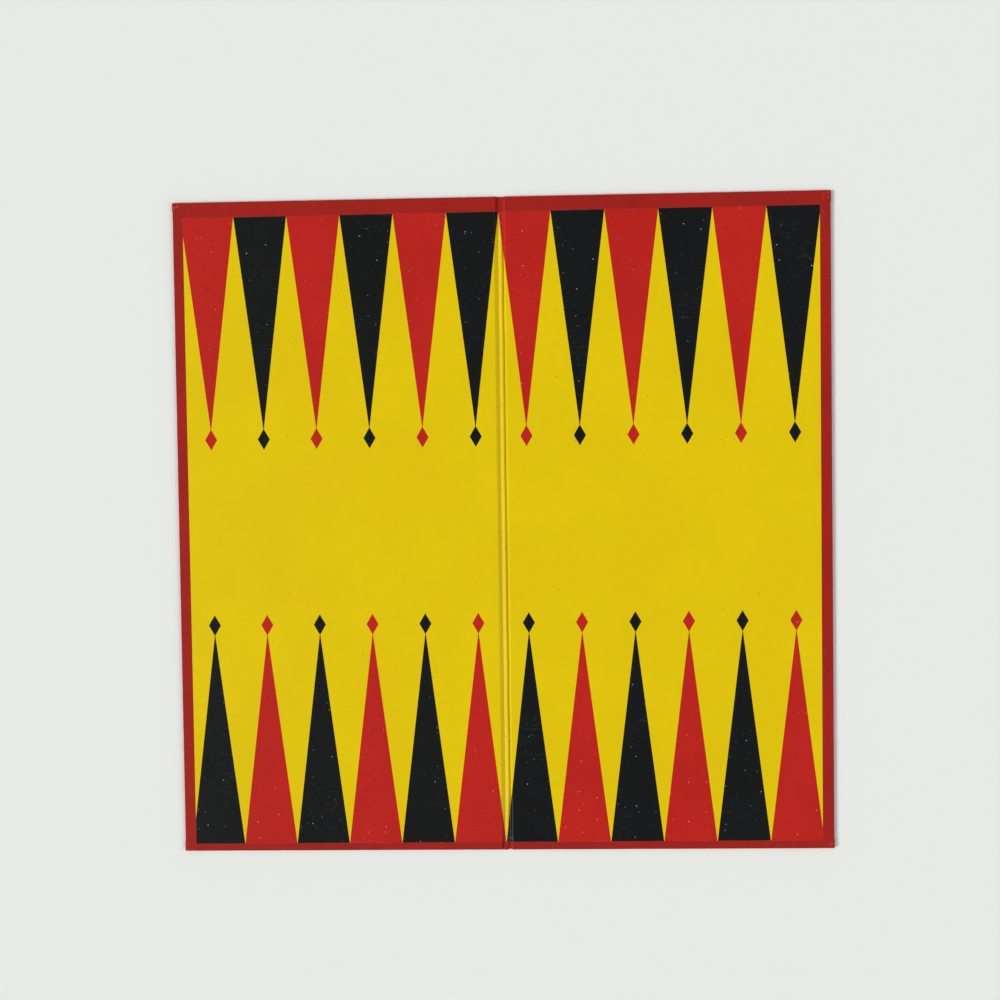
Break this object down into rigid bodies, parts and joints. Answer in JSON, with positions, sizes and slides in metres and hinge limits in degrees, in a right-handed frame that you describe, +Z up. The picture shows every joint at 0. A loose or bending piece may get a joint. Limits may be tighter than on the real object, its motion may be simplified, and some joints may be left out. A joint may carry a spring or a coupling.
{
  "type": "backgammon board",
  "caption": "Flat paperboard game board that folds in half along a double crease, with long pointed stripes ending in diamonds along two opposite sides.",
  "frame": {"origin": "middle of the back face with the board open and flat", "axes": "+X across the fold to the right half, +Y along the fold to the far row, +Z up out of the printed face"},
  "size_m": [0.47, 0.47, 0.0023],
  "materials": {
    "board": "bare grey chipboard",
    "wrap": "grained red cover paper, low sheen",
    "sheet": "yellow printed paper, smooth, low sheen",
    "black_ink": "solid black print, low sheen, worn at the edges",
    "red_ink": "solid red print, low sheen, worn at the edges"
  },
  "bodies": {
    "left": {"core_left": "board", "wrap_left": "wrap", "printed_sheet_left": "sheet", "black_points_left": "black_ink", "red_points_left": "red_ink"},
    "spine": {"wrap_spine": "wrap", "printed_sheet_spine": "sheet", "black_points_spine": "black_ink", "red_points_spine": "red_ink"},
    "right": {"core_right": "board", "wrap_right": "wrap", "printed_sheet_right": "sheet", "black_points_right": "black_ink", "red_points_right": "red_ink"}
  },
  "joints": [
    {"name": "crease_left", "type": "hinge", "parent": "left", "child": "spine", "pos_m": [-0.00195, 0, 0.00055], "axis": [0, -1, 0], "range_deg": [0, 90]},
    {"name": "crease_right", "type": "hinge", "parent": "spine", "child": "right", "pos_m": [0.00195, 0, 0.00055], "axis": [0, -1, 0], "range_deg": [0, 90]}
  ],
  "couplings": [
    {"joint": "crease_left", "follows": "crease_right", "ratio": 1}
  ]
}
